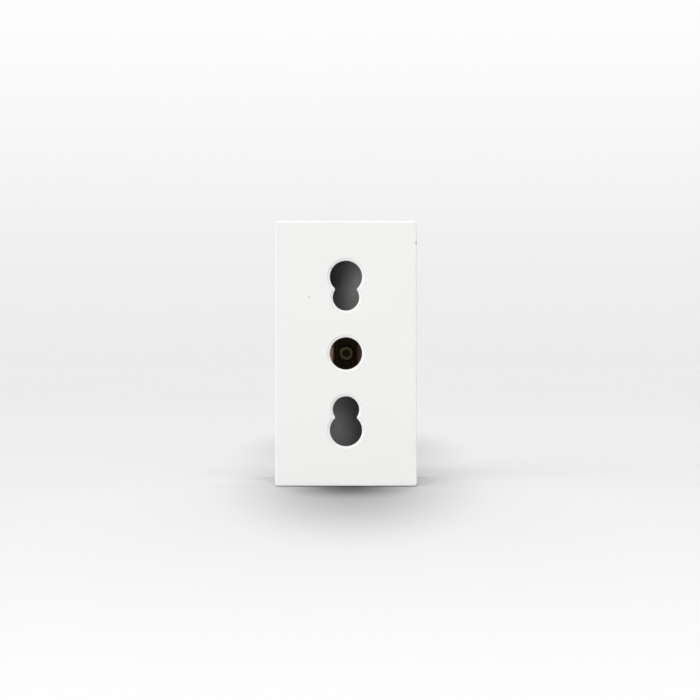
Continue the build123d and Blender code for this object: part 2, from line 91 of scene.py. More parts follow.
def linear(grey: float) -> float:
    """Linear value of a display grey, by the standard display curve.

    Args:
        grey: Tone on the scale from 0 to 255.

    Returns:
        The same tone as a linear share of white.
    """
    share = grey / 255
    return share / 12.92 if share <= 0.04045 else ((share + 0.055) / 1.055) ** 2.4


def opaque(colour: Colour) -> tuple[float, float, float, float]:
    """Colour with a full alpha, as sockets and ramps take it."""
    return (*colour, 1.0)


class Pole(Enum):
    """The three poles, by the names of their nodes and bodies."""

    LINE = "line"
    EARTH = "earth"
    NEUTRAL = "neutral"

    def named(self, piece: str) -> str:
        """Name of this pole's node or body."""
        return f"{self.value}_{piece}"


class Kind(Enum):
    """What a socket of a node group carries."""

    VALUE = "NodeSocketFloat"
    VECTOR = "NodeSocketVector"
    COLOUR = "NodeSocketColor"


class Wiring:
    """A shader tree with a short way to add and join nodes."""

    def __init__(self, tree: bpy.types.NodeTree) -> None:
        """Take over a tree and clear it."""
        self.tree = tree
        tree.nodes.clear()

    def feed(self, socket: bpy.types.NodeSocket, value: Any) -> None:
        """Set an input, or join it to an output.

        Args:
            socket: Input socket.
            value: Plain value or output socket.
        """
        if isinstance(value, bpy.types.NodeSocket):
            self.tree.links.new(value, socket)
        else:
            socket.default_value = value

    def add(self, kind: str, inputs: Sockets | None = None, **settings: Any) -> bpy.types.Node:
        """Add one node.

        Args:
            kind: Node type.
            inputs: Plain values or output sockets, by the name or number of the input.
            settings: Properties of the node itself.

        Returns:
            The new node.
        """
        node = self.tree.nodes.new(kind)
        for name, value in settings.items():
            setattr(node, name, value)
        for name, value in (inputs or {}).items():
            self.feed(node.inputs[name], value)
        return node

    def math(self, operation: str, *values: Any) -> bpy.types.NodeSocket:
        """Result of a math node on plain values or sockets."""
        return self.add("ShaderNodeMath", dict(enumerate(values)), operation=operation).outputs[0]

    def scaled(self, colour: Any, gain: Any) -> bpy.types.NodeSocket:
        """Colour times a gain."""
        inputs = {0: colour, "Scale": gain}
        return self.add("ShaderNodeVectorMath", inputs, operation="SCALE").outputs["Vector"]

    def depth(self, place: bpy.types.NodeSocket) -> bpy.types.NodeSocket:
        """How far a place lies behind the face."""
        return self.add("ShaderNodeSeparateXYZ", {"Vector": place}).outputs["Y"]

    def noise(
        self, place: bpy.types.NodeSocket, scale: Any, detail: float, rough: float = 0.5
    ) -> bpy.types.NodeSocket:
        """Even noise around its mean.

        Args:
            place: Vector to read.
            scale: Waves per metre.
            detail: Number of finer waves on top.
            rough: Strength of each finer wave against the one below it.

        Returns:
            Socket with the noise.
        """
        inputs = {"Vector": place, "Scale": scale, "Detail": detail, "Roughness": rough}
        return self.add("ShaderNodeTexNoise", inputs).outputs["Fac"]

    def remap(
        self, value: bpy.types.NodeSocket, start: Any, end: Any, low: Any, high: Any
    ) -> bpy.types.NodeSocket:
        """Smooth change from low to high.

        Args:
            value: Socket to read.
            start: Value at which the result is low.
            end: Value at which the result is high.
            low: Result up to start.
            high: Result from end on.

        Returns:
            Socket with the result.
        """
        inputs = {"Value": value, "From Min": start, "From Max": end, "To Min": low, "To Max": high}
        node = self.add("ShaderNodeMapRange", inputs, interpolation_type="SMOOTHSTEP")
        return node.outputs["Result"]

    def blend(self, share: Any, first: Any, second: Any) -> bpy.types.NodeSocket:
        """Mix of two colours.

        Args:
            share: Share of the second colour.
            first: Colour or socket at a share of 0.
            second: Colour or socket at a share of 1.

        Returns:
            Socket with the mixed colour.
        """
        node = self.add("ShaderNodeMix", {"Factor": share}, data_type="RGBA")
        colours = [socket for socket in node.inputs if socket.type == "RGBA"]
        for socket, value in zip(colours, (first, second)):
            self.feed(socket, value)
        return next(socket for socket in node.outputs if socket.type == "RGBA")

    def greys(self, value: bpy.types.NodeSocket, tones: Tones) -> bpy.types.NodeSocket:
        """Greys along a value.

        Args:
            value: Socket to read.
            tones: Value and display grey of each stop, in rising order.

        Returns:
            Socket with the colour.
        """
        first, last = tones[0][0], tones[-1][0]
        inputs = {"Value": value, "From Min": first, "From Max": last}
        share = self.add("ShaderNodeMapRange", inputs).outputs["Result"]
        ramp = self.add("ShaderNodeValToRGB", {"Fac": share})
        stops = ramp.color_ramp.elements
        while len(stops) < len(tones):
            stops.new(1.0)
        for stop, (at, grey) in zip(stops, tones):
            stop.position = (at - first) / (last - first)
            stop.color = opaque((linear(grey),) * 3)
        return ramp.outputs["Color"]


class Effect:
    """A surface effect that several finishes share, kept as one node group.

    Attributes:
        name: Name of the group.
        inlets: Inputs of the group and what they carry.
        outlets: Outputs of the group and what they carry.
    """

    name: ClassVar[str]
    inlets: ClassVar[dict[str, Kind]]
    outlets: ClassVar[dict[str, Kind]]

    @classmethod
    def wire(cls, wiring: Wiring, inlet: bpy.types.NodeOutputs) -> Sockets:
        """Join the group's inside.

        Args:
            wiring: The group's tree.
            inlet: Outputs of the group's input node.

        Returns:
            Output sockets by the names of the outlets.
        """
        raise NotImplementedError

    @classmethod
    def group(cls) -> bpy.types.NodeTree:
        """Find the node group of this effect, or make it on first use.

        Returns:
            The node group.
        """
        found = bpy.data.node_groups.get(cls.name)
        if found is not None:
            return found
        tree = bpy.data.node_groups.new(cls.name, "ShaderNodeTree")
        for name, kind in cls.inlets.items():
            tree.interface.new_socket(name, in_out="INPUT", socket_type=kind.value)
        for name, kind in cls.outlets.items():
            tree.interface.new_socket(name, in_out="OUTPUT", socket_type=kind.value)
        wiring = Wiring(tree)
        inlet = wiring.add("NodeGroupInput").outputs
        wiring.add("NodeGroupOutput", cls.wire(wiring, inlet))
        return tree

    @classmethod
    def place(cls, wiring: Wiring, inputs: Sockets) -> bpy.types.NodeOutputs:
        """Outputs of this effect, placed in a material with its own values."""
        return wiring.add("ShaderNodeGroup", inputs, node_tree=cls.group()).outputs


class Clouding(Effect):
    """Soft unevenness of a colour.

    Attributes:
        detail: Number of finer clouds in a cloud.
        rough: Strength of the finer clouds.
    """

    name = "clouding"
    inlets = {
        "Vector": Kind.VECTOR,
        "Color": Kind.COLOUR,
        "Scale": Kind.VALUE,
        "Amount": Kind.VALUE,
    }
    outlets = {"Color": Kind.COLOUR}
    detail: ClassVar[float] = 4.0
    rough: ClassVar[float] = 0.55

    @classmethod
    def wire(cls, wiring: Wiring, inlet: bpy.types.NodeOutputs) -> Sockets:
        """Let the brightness swing round the given colour with slow noise.

        Args:
            wiring: The group's tree.
            inlet: Outputs of the group's input node.

        Returns:
            The clouded colour.
        """
        noise = wiring.noise(inlet["Vector"], inlet["Scale"], cls.detail, cls.rough)
        swing = wiring.math("SUBTRACT", noise, NOISE_MEAN)
        gain = wiring.math("MULTIPLY_ADD", swing, inlet["Amount"], 1.0)
        return {"Color": wiring.scaled(inlet["Color"], gain)}


class MouldGrain(Effect):
    """Fine spark-eroded grain of a moulded surface.

    Attributes:
        detail: Number of finer waves in a grain.
        rough: Strength of the finer waves.
        swell: Scale of the slow swell under the grain, as a share of the grain's.
        swell_share: Height of the swell against the grain.
        gloss_span: Heights between which the gloss changes.
    """

    name = "mould_grain"
    inlets = {
        "Vector": Kind.VECTOR,
        "Scale": Kind.VALUE,
        "Smooth": Kind.VALUE,
        "Rough": Kind.VALUE,
    }
    outlets = {"Height": Kind.VALUE, "Roughness": Kind.VALUE}
    detail: ClassVar[float] = 2.0
    rough: ClassVar[float] = 0.6
    swell: ClassVar[float] = 0.06
    swell_share: ClassVar[float] = 0.5
    gloss_span: ClassVar[Span] = (0.45, 1.05)

    @classmethod
    def wire(cls, wiring: Wiring, inlet: bpy.types.NodeOutputs) -> Sockets:
        """Make the pits and peaks of the grain, with duller pits.

        Args:
            wiring: The group's tree.
            inlet: Outputs of the group's input node.

        Returns:
            Height and roughness of the grain.
        """
        fine = wiring.noise(inlet["Vector"], inlet["Scale"], cls.detail, cls.rough)
        slow_scale = wiring.math("MULTIPLY", inlet["Scale"], cls.swell)
        slow = wiring.noise(inlet["Vector"], slow_scale, cls.detail)
        height = wiring.math("MULTIPLY_ADD", slow, cls.swell_share, fine)
        dull = wiring.remap(height, *cls.gloss_span, inlet["Rough"], inlet["Smooth"])
        return {"Height": height, "Roughness": dull}


class RollingLines(Effect):
    """Lines that rolling or drawing leaves on metal, from front to back.

    Attributes:
        stretch: Scale of the lines along each axis.
        detail: Number of finer lines in a line.
        rough: Strength of the finer lines.
        gloss_span: Heights between which the gloss changes.
    """

    name = "rolling_lines"
    inlets = {
        "Vector": Kind.VECTOR,
        "Scale": Kind.VALUE,
        "Smooth": Kind.VALUE,
        "Rough": Kind.VALUE,
    }
    outlets = {"Height": Kind.VALUE, "Roughness": Kind.VALUE}
    stretch: ClassVar[Point] = (1.0, 0.04, 1.0)
    detail: ClassVar[float] = 5.0
    rough: ClassVar[float] = 0.7
    gloss_span: ClassVar[Span] = (0.3, 0.7)

    @classmethod
    def wire(cls, wiring: Wiring, inlet: bpy.types.NodeOutputs) -> Sockets:
        """Draw long thin streaks of noise.

        Args:
            wiring: The group's tree.
            inlet: Outputs of the group's input node.

        Returns:
            Height and roughness of the lines.
        """
        inputs = {"Vector": inlet["Vector"], "Scale": cls.stretch}
        stretched = wiring.add("ShaderNodeMapping", inputs).outputs["Vector"]
        streaks = wiring.noise(stretched, inlet["Scale"], cls.detail, cls.rough)
        gloss = wiring.remap(streaks, *cls.gloss_span, inlet["Smooth"], inlet["Rough"])
        return {"Height": streaks, "Roughness": gloss}


class Tarnish(Effect):
    """Patches where a metal has gone dull.

    Attributes:
        detail: Number of finer patches in a patch.
        rough: Strength of the finer patches.
        rim: Noise levels between which a patch sets in.
    """

    name = "tarnish"
    inlets = {
        "Vector": Kind.VECTOR,
        "Clean": Kind.COLOUR,
        "Dull": Kind.COLOUR,
        "Scale": Kind.VALUE,
        "Amount": Kind.VALUE,
    }
    outlets = {"Color": Kind.COLOUR}
    detail: ClassVar[float] = 6.0
    rough: ClassVar[float] = 0.6
    rim: ClassVar[Span] = (0.35, 0.7)

    @classmethod
    def wire(cls, wiring: Wiring, inlet: bpy.types.NodeOutputs) -> Sockets:
        """Lay the dull colour where slow noise is high.

        Args:
            wiring: The group's tree.
            inlet: Outputs of the group's input node.

        Returns:
            The patchy colour.
        """
        noise = wiring.noise(inlet["Vector"], inlet["Scale"], cls.detail, cls.rough)
        patch = wiring.remap(noise, *cls.rim, 0.0, inlet["Amount"])
        return {"Color": wiring.blend(patch, inlet["Clean"], inlet["Dull"])}


class Mark(Effect):
    """One small spot, used both for worn or soiled places and for spots of painted shade.

    Attributes:
        raggedness: Waves per metre of its uneven edge.
        detail: Number of finer waves of the edge.
        heart: Share of the reach that has the full strength.
    """

    name = "mark"
    inlets = {
        "Vector": Kind.VECTOR,
        "Place": Kind.VECTOR,
        "Radius": Kind.VALUE,
        "Strength": Kind.VALUE,
    }
    outlets = {"Mask": Kind.VALUE}
    raggedness: ClassVar[float] = 4000.0
    detail: ClassVar[float] = 2.0
    heart: ClassVar[float] = 0.35

    @classmethod
    def wire(cls, wiring: Wiring, inlet: bpy.types.NodeOutputs) -> Sockets:
        """Fade a mask out from the place, with an uneven edge.

        Args:
            wiring: The group's tree.
            inlet: Outputs of the group's input node.

        Returns:
            The mask.
        """
        ends = {0: inlet["Vector"], 1: inlet["Place"]}
        away = wiring.add("ShaderNodeVectorMath", ends, operation="DISTANCE").outputs["Value"]
        ragged = wiring.noise(inlet["Vector"], cls.raggedness, cls.detail)
        swing = wiring.math("ADD", ragged, 1.0 - NOISE_MEAN)
        reach = wiring.math("MULTIPLY", inlet["Radius"], swing)
        inner = wiring.math("MULTIPLY", reach, cls.heart)
        return {"Mask": wiring.remap(away, inner, reach, inlet["Strength"], 0.0)}


@dataclass(frozen=True)
class Finish:
    """What every finish has.

    Attributes:
        name: Name of its material.
        slot: The record's slot that it stands for, empty where it isn't on the module; not used
            here.
    """

    name: str
    slot: str

    def shade(self, wiring: Wiring, place: bpy.types.NodeSocket) -> Sockets:
        """Inputs of the surface shader.

        Args:
            wiring: The material's tree.
            place: Object coordinates.

        Returns:
            Values or sockets by the names of the shader's inputs.
        """
        raise NotImplementedError

    def material(self) -> bpy.types.Material:
        """Find the material of this finish, or make it on first use.

        Returns:
            The material.
        """
        found = bpy.data.materials.get(self.name)
        if found is not None:
            return found
        made = bpy.data.materials.new(self.name)
        made.use_nodes = True
        wiring = Wiring(made.node_tree)
        place = wiring.add("ShaderNodeTexCoord").outputs["Object"]
        shader = wiring.add("ShaderNodeBsdfPrincipled", self.shade(wiring, place))
        wiring.add("ShaderNodeOutputMaterial", {"Surface": shader.outputs["BSDF"]})
        return made

    @staticmethod
    def relief(
        wiring: Wiring, height: bpy.types.NodeSocket, depth: float, share: float
    ) -> bpy.types.NodeSocket:
        """Normal of a surface with a relief.

        Args:
            wiring: The material's tree.
            height: Relief between 0 and 1.
            depth: Depth of the relief in metres.
            share: Share of the relief that shows.

        Returns:
            Socket with the normal.
        """
        inputs = {"Height": height, "Distance": depth, "Strength": share}
        return wiring.add("ShaderNodeBump", inputs).outputs["Normal"]


@dataclass(frozen=True)
class SoilAndShadeSpot:
    """A small spot on a piece, used both for specks of soil and for spots of painted shade.

    Attributes:
        centre: Its centre in metres.
        radius: Reach in metres.
        strength: Share of the mark's colour at the centre.
    """

    centre: Point
    radius: float
    strength: float

    def over(
        self,
        wiring: Wiring,
        place: bpy.types.NodeSocket,
        tone: bpy.types.NodeSocket,
        spot_colour: Colour,
    ) -> bpy.types.NodeSocket:
        """Colour of the surface with this mark on it.

        Args:
            wiring: The material's tree.
            place: Object coordinates.
            tone: Colour without the mark.
            spot_colour: Colour of the mark.

        Returns:
            Socket with the colour.
        """
        inputs = {
            "Vector": place,
            "Place": self.centre,
            "Radius": self.radius,
            "Strength": self.strength,
        }
        return wiring.blend(Mark.place(wiring, inputs)["Mask"], tone, opaque(spot_colour))


@dataclass(frozen=True)
class MouldedPlastic(Finish):
    """Coloured thermoplastic with the grain of its mould.

    Attributes:
        colour: Linear colour.
        smooth: Roughness on the peaks of the grain.
        rough: Roughness in the pits of the grain.
        grain: Grains per metre.
        depth: Depth of the grain in metres.
        grain_share: Share of the grain's depth that shows.
        clouds: Clouds per metre.
        clouding: Swing of the brightness over the surface.
        specular: Strength of the gloss.
        spot_colour: Colour of the marks.
        marks: Marks on the surface.
        edge: Linear colour of a painted highlight on the rims just behind the face, or None for no
            highlight.
        highlight_start: Depths in metres between which that highlight sets in.
        highlight_end: Depths in metres between which it fades out.
    """

    colour: Colour
    smooth: float
    rough: float
    grain: float = 9000.0
    depth: float = 0.004 * MM
    grain_share: float = 0.5
    clouds: float = 90.0
    clouding: float = 0.05
    specular: float = 0.5
    spot_colour: Colour = (0.25, 0.24, 0.22)
    marks: tuple[SoilAndShadeSpot, ...] = ()
    edge: Colour | None = None
    highlight_start: Span = (0.0, 0.135 * MM)
    highlight_end: Span = (0.45 * MM, 0.72 * MM)

    def shade(self, wiring: Wiring, place: bpy.types.NodeSocket) -> Sockets:
        """Cloud the colour, set the marks, and put the grain in the gloss and the relief.

        Args:
            wiring: The material's tree.
            place: Object coordinates.

        Returns:
            Values or sockets by the names of the shader's inputs.
        """
        base = opaque(self.colour)
        # Painted highlight: the rims just behind the face take a paler colour, in place of the
        # light that their rounding catches.
        if self.edge is not None:
            depth = wiring.depth(place)
            rise = wiring.remap(depth, *self.highlight_start, 0.0, 1.0)
            fade = wiring.remap(depth, *self.highlight_end, 1.0, 0.0)
            base = wiring.blend(wiring.math("MULTIPLY", rise, fade), base, opaque(self.edge))
        tone = Clouding.place(
            wiring,
            {"Vector": place, "Color": base, "Scale": self.clouds, "Amount": self.clouding},
        )["Color"]
        for mark in self.marks:
            tone = mark.over(wiring, place, tone, self.spot_colour)
        grain = MouldGrain.place(
            wiring,
            {"Vector": place, "Scale": self.grain, "Smooth": self.smooth, "Rough": self.rough},
        )
        return {
            "Base Color": tone,
            "Roughness": grain["Roughness"],
            "Normal": self.relief(wiring, grain["Height"], self.depth, self.grain_share),
            "Specular IOR Level": self.specular,
        }


@dataclass(frozen=True)
class DepthShade:
    """Painted shade on the metal: a darker colour that sets in with the depth behind the face,
    where less light gets in.

    Attributes:
        colour: Linear colour.
        span: Depths in metres between which it sets in.
        rough: Roughness.
    """

    colour: Colour
    span: Span
    rough: float = 0.7


@dataclass(frozen=True)
class WorkedMetal(Finish):
    """Rolled sheet or drawn wire with its lines and dull patches.

    Attributes:
        clean: Linear colour of the bright metal.
        dull: Linear colour where it has gone dull, and of the spots of painted shade.
        smooth: Roughness between the lines.
        rough: Roughness on the lines.
        lines: Lines per metre across their run.
        line_depth: Depth of the lines in metres.
        line_share: Share of the lines' depth that shows.
        patches: Dull patches per metre.
        tarnish: Share of the dull colour in the patches.
        metallic: Share of bare metal on the surface.
        depth_shades: Painted shade that sets in with the depth behind the face, from front to back.
        marks: Spots of painted shade.
    """

    clean: Colour
    dull: Colour
    smooth: float
    rough: float
    lines: float = 5000.0
    line_depth: float = 0.002 * MM
    line_share: float = 0.4
    patches: float = 350.0
    tarnish: float = 0.7
    metallic: float = 1.0
    depth_shades: tuple[DepthShade, ...] = ()
    marks: tuple[SoilAndShadeSpot, ...] = ()

    def shade(self, wiring: Wiring, place: bpy.types.NodeSocket) -> Sockets:
        """Lay patches, marks and painted depth shade over the metal, and its lines in the gloss and
        the relief.

        Args:
            wiring: The material's tree.
            place: Object coordinates.

        Returns:
            Values or sockets by the names of the shader's inputs.
        """
        tone = Tarnish.place(
            wiring,
            {
                "Vector": place,
                "Clean": opaque(self.clean),
                "Dull": opaque(self.dull),
                "Scale": self.patches,
                "Amount": self.tarnish,
            },
        )["Color"]
        lines = RollingLines.place(
            wiring,
            {"Vector": place, "Scale": self.lines, "Smooth": self.smooth, "Rough": self.rough},
        )
        gloss = lines["Roughness"]
        # The marks on metal are spots of painted shade, in the dull colour.
        for mark in self.marks:
            tone = mark.over(wiring, place, tone, self.dull)
        # Painted shade: with the depth behind the face the colour turns to a darker one and the
        # gloss to a duller one.
        for depth_shade in self.depth_shades:
            depth = wiring.depth(place)
            tone = wiring.blend(
                wiring.remap(depth, *depth_shade.span, 0.0, 1.0), tone, opaque(depth_shade.colour)
            )
            gloss = wiring.remap(depth, *depth_shade.span, gloss, depth_shade.rough)
        return {
            "Base Color": tone,
            "Metallic": self.metallic,
            "Roughness": gloss,
            "Normal": self.relief(wiring, lines["Height"], self.line_depth, self.line_share),
        }


@dataclass(frozen=True)
class FloorShade:
    """Soft shade on the floor.

    Attributes:
        across: Reach along X.
        along: Reach along Y.
        strength: Share of the floor's light that it takes at its middle.
        back: Place of its middle along Y.
        right: Place of its middle along X.
    """

    across: float
    along: float
    strength: float
    back: float = 0.0
    right: float = 0.0

    def over(
        self,
        wiring: Wiring,
        place: bpy.types.NodeSocket,
        tone: bpy.types.NodeSocket,
        seen: bpy.types.NodeSocket,
    ) -> bpy.types.NodeSocket:
        """Colour of the floor with this shade on it.

        Args:
            wiring: The material's tree.
            place: Object coordinates.
            tone: Colour without the shade.
            seen: Share of the shade that shows.

        Returns:
            Socket with the colour.
        """
        near = wiring.add(
            "ShaderNodeMapping",
            {
                "Vector": place,
                "Location": (-self.right / self.across, -self.back / self.along, 0.0),
                "Scale": (1 / self.across, 1 / self.along, 0.0),
            },
        ).outputs["Vector"]
        away = wiring.add("ShaderNodeVectorMath", {0: near}, operation="LENGTH").outputs["Value"]
        dark = wiring.math("MULTIPLY", seen, wiring.remap(away, 0.0, 1.0, self.strength, 0.0))
        return wiring.scaled(tone, wiring.math("SUBTRACT", 1.0, dark))


@dataclass(frozen=True)
class PaleSheet(Finish):
    """Matt sheet for the floor, whose grey changes from front to back.

    Attributes:
        tones: Display greys by their place along Y in metres.
        shades: Soft shades under the module, which only the camera sees.
        clouds: Clouds per metre.
        clouding: Swing of the brightness over the sheet.
        rough: Roughness.
        specular: Strength of the gloss.
    """

    tones: Tones
    shades: tuple[FloorShade, ...]
    clouds: float = 12.0
    clouding: float = 0.01
    rough: float = 0.95
    specular: float = 0.1

    def shade(self, wiring: Wiring, place: bpy.types.NodeSocket) -> Sockets:
        """Lay the shades and faint clouds over the greys.

        Args:
            wiring: The material's tree.
            place: Object coordinates.

        Returns:
            Values or sockets by the names of the shader's inputs.
        """
        tone = wiring.greys(wiring.depth(place), self.tones)
        seen = wiring.add("ShaderNodeLightPath").outputs["Is Camera Ray"]
        for shade in self.shades:
            tone = shade.over(wiring, place, tone, seen)
        soft = Clouding.place(
            wiring,
            {"Vector": place, "Color": tone, "Scale": self.clouds, "Amount": self.clouding},
        )["Color"]
        return {"Base Color": soft, "Roughness": self.rough, "Specular IOR Level": self.specular}


WHITE_PLASTIC = MouldedPlastic(
    "white_moulding",
    "white_plastic",
    colour=(0.802, 0.802, 0.787),
    # Painted highlight on the rims just behind the face.
    edge=(0.95, 0.95, 0.945),
    smooth=0.34,
    rough=0.46,
    depth=0.002 * MM,
    clouding=0.02,
    marks=(
        SoilAndShadeSpot((-6.25 * MM, 0.0, 9.55 * MM), 0.3 * MM, 0.28),
        SoilAndShadeSpot((12.0 * MM, 0.2 * MM, 18.7 * MM), 0.5 * MM, 0.5),
    ),
)
SHUTTER_PLASTIC = MouldedPlastic(
    "shutter_moulding",
    "grey_plastic",
    colour=(0.165, 0.172, 0.165),
    smooth=0.36,
    rough=0.5,
    grain=7000.0,
    clouding=0.12,
)
BODY_PLASTIC = MouldedPlastic(
    "body_moulding",
    "black_plastic",
    colour=(0.018, 0.018, 0.019),
    smooth=0.42,
    rough=0.62,
    grain=6000.0,
    depth=0.008 * MM,
    clouding=0.2,
)
CLIP_BRONZE = WorkedMetal(
    "clip_bronze",
    "bronze",
    clean=(0.66, 0.44, 0.3),
    dull=(0.36, 0.22, 0.14),
    smooth=0.32,
    rough=0.5,
    # Painted shade: darker deep in the pin holes.
    depth_shades=(DepthShade((0.24, 0.17, 0.11), (14.0 * MM, 20.0 * MM)),),
)
EARTH_BRONZE = WorkedMetal(
    "earth_bronze",
    "bronze",
    # The clean colour is paler than the bronze itself: partly its own colour, partly a painted
    # highlight on the leaves' front tips.
    clean=(1.0, 0.74, 0.57),
    dull=(0.1, 0.06, 0.05),
    smooth=0.36,
    rough=0.5,
    tarnish=0.1,
    metallic=0.2,
    # Painted shade by depth: a dark band for the dark reflection where the leaves turn into the
    # hole, then, on the deep web, a colour darker than the clean bronze.
    depth_shades=(
        DepthShade((0.13, 0.05, 0.01), (4.6 * MM, 5.0 * MM)),
        DepthShade((0.7, 0.52, 0.28), (8.0 * MM, 14.0 * MM)),
    ),
    # Painted shade: the right leaf darkened, and the top of the left leaf, in the shadow of the
    # hole's rim.
    marks=(
        SoilAndShadeSpot((2.4 * MM, 4.7 * MM, 0.0), 2.6 * MM, 0.95),
        SoilAndShadeSpot((-2.4 * MM, 4.5 * MM, 1.9 * MM), 1.1 * MM, 0.95),
    ),
)
STRIP_BRASS = WorkedMetal(
    "strip_brass",
    "brass",
    clean=(0.6, 0.46, 0.2),
    dull=(0.36, 0.27, 0.12),
    smooth=0.38,
    rough=0.55,
)
RIVET_BRASS = WorkedMetal(
    "rivet_brass",
    "brass",
    clean=(0.74, 0.82, 0.46),
    dull=(0.46, 0.52, 0.28),
    smooth=0.38,
    rough=0.55,
    # Painted shade: darker in the rivet's bore, just behind the head's front.
    depth_shades=(DepthShade((0.46, 0.43, 0.2), (22.0 * MM, 22.5 * MM)),),
)
PLATED_STEEL = WorkedMetal(
    "plated_steel",
    "zinc_steel",
    clean=(0.66, 0.67, 0.68),
    dull=(0.5, 0.5, 0.48),
    smooth=0.26,
    rough=0.44,
    tarnish=0.5,
)
SPRING_STEEL = WorkedMetal(
    "spring_steel",
    "spring_steel",
    clean=(0.52, 0.52, 0.53),
    dull=(0.34, 0.34, 0.35),
    smooth=0.24,
    rough=0.4,
)
FLOOR_SHEET = PaleSheet(
    "floor_sheet",
    "",
    tones=(
        (-0.12, 249.0),
        (-0.07, 243.0),
        (-0.03, 238.0),
        (0.0, 235.0),
        (0.01, 237.0),
        (0.06, 238.0),
        (0.16, 236.0),
        (0.4, 235.0),
        (0.8, 233.0),
    ),
    shades=(
        FloorShade(across=26.0 * MM, along=47.0 * MM, strength=0.41, right=1.0 * MM),
        FloorShade(across=13.0 * MM, along=10.5 * MM, strength=0.76, right=0.5 * MM),
        FloorShade(
            across=31.0 * MM, along=210.0 * MM, strength=0.4, back=170.0 * MM, right=1.0 * MM
        ),
    ),
)


def dress(node: str, finish: Finish) -> bpy.types.Object:
    """Give a solid of the frame its finish.

    Args:
        node: Name of the node.
        finish: Finish of its whole surface.

    Returns:
        The node's object.
    """
    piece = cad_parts[node]
    for slot in piece.material_slots:
        slot.material = finish.material()
    return piece


def stand_for(piece: bpy.types.Object, node: str, finish: Finish) -> None:
    """Let a new piece take the place of a solid, with its finish.

    Args:
        piece: The new piece.
        node: Name of the node that it replaces.
        finish: Finish of its whole surface.
    """
    piece.data.materials.append(finish.material())
    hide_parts(node)


def to_object(name: str, form: bmesh.types.BMesh) -> bpy.types.Object:
    """Turn a form into a smooth object of the scene.

    Args:
        name: Name of the object and its mesh.
        form: The form, which is freed.

    Returns:
        The new object, at the origin.
    """
    mesh = bpy.data.meshes.new(name)
    form.to_mesh(mesh)
    form.free()
    mesh.shade_smooth()
    made = bpy.data.objects.new(name, mesh)
    bpy.context.collection.objects.link(made)
    return made


def to_solid(name: str, form: bmesh.types.BMesh, crease: float = SHARP_ANGLE) -> bpy.types.Object:
    """Turn a closed form into an object with sharp edges.

    Args:
        name: Name of the object and its mesh.
        form: The form, which is freed.
        crease: Angle in degrees past which an edge stays sharp.

    Returns:
        The new object, at the origin.
    """
    bmesh.ops.remove_doubles(form, verts=form.verts[:], dist=MERGE_DISTANCE)
    bmesh.ops.recalc_face_normals(form, faces=form.faces[:])
    made = to_object(name, form)
    made.data.set_sharp_from_angle(angle=math.radians(crease))
    return made


def carve(target: bpy.types.Object, tools: list[bpy.types.Object]) -> None:
    """Cut recesses into an object and remove the tools that cut them.

    Args:
        target: Object to cut.
        tools: Closed shapes to take away, one after the other.
    """
    for tool in tools:
        cut = target.modifiers.new(tool.name, "BOOLEAN")
        cut.operation = "DIFFERENCE"
        cut.solver = "EXACT"
        cut.object = tool
    cut_away = target.evaluated_get(bpy.context.evaluated_depsgraph_get())
    plain = target.data
    carved = bpy.data.meshes.new_from_object(cut_away)
    target.modifiers.clear()
    target.data = carved
    bpy.data.meshes.remove(plain)
    for tool in tools:
        bpy.data.meshes.remove(tool.data)


def faces_of(parts: list[Any]) -> list[bmesh.types.BMFace]:
    """The faces among the parts that an operator returns."""
    return [part for part in parts if isinstance(part, bmesh.types.BMFace)]


def corners_of(parts: list[Any]) -> list[bmesh.types.BMVert]:
    """The corners among the parts that an operator returns."""
    return [part for part in parts if isinstance(part, bmesh.types.BMVert)]


def round_edges(
    form: bmesh.types.BMesh, edges: list[bmesh.types.BMEdge], reach: float, steps: int
) -> None:
    """Round edges of a form.

    Args:
        form: The form.
        edges: Edges to round.
        reach: How far the rounding reaches from the edge.
        steps: Steps of the rounding.
    """
    bmesh.ops.bevel(
        form,
        geom=edges,
        offset=reach,
        offset_type="OFFSET",
        affect="EDGES",
        segments=steps,
        profile=0.5,
        material=-1,
    )


@dataclass
class Cover:
    """White front cover: the face, its bezel and the skirt behind it.

    Attributes:
        node: Its node.
        finish: Its finish.
    """

    node: str = "front_cover"
    finish: MouldedPlastic = WHITE_PLASTIC

    def build(self) -> list[bpy.types.Object]:
        """Dress the cover."""
        return [dress(self.node, self.finish)]


@dataclass
class Body:
    """Dark mouldings behind the face: the inner plate and the rear housing.

    Attributes:
        nodes: Their nodes.
        finish: Their finish.
    """

    nodes: tuple[str, ...] = ("inner_plate", "rear_housing")
    finish: MouldedPlastic = BODY_PLASTIC

    def build(self) -> list[bpy.types.Object]:
        """Dress both mouldings."""
        return [dress(node, self.finish) for node in self.nodes]


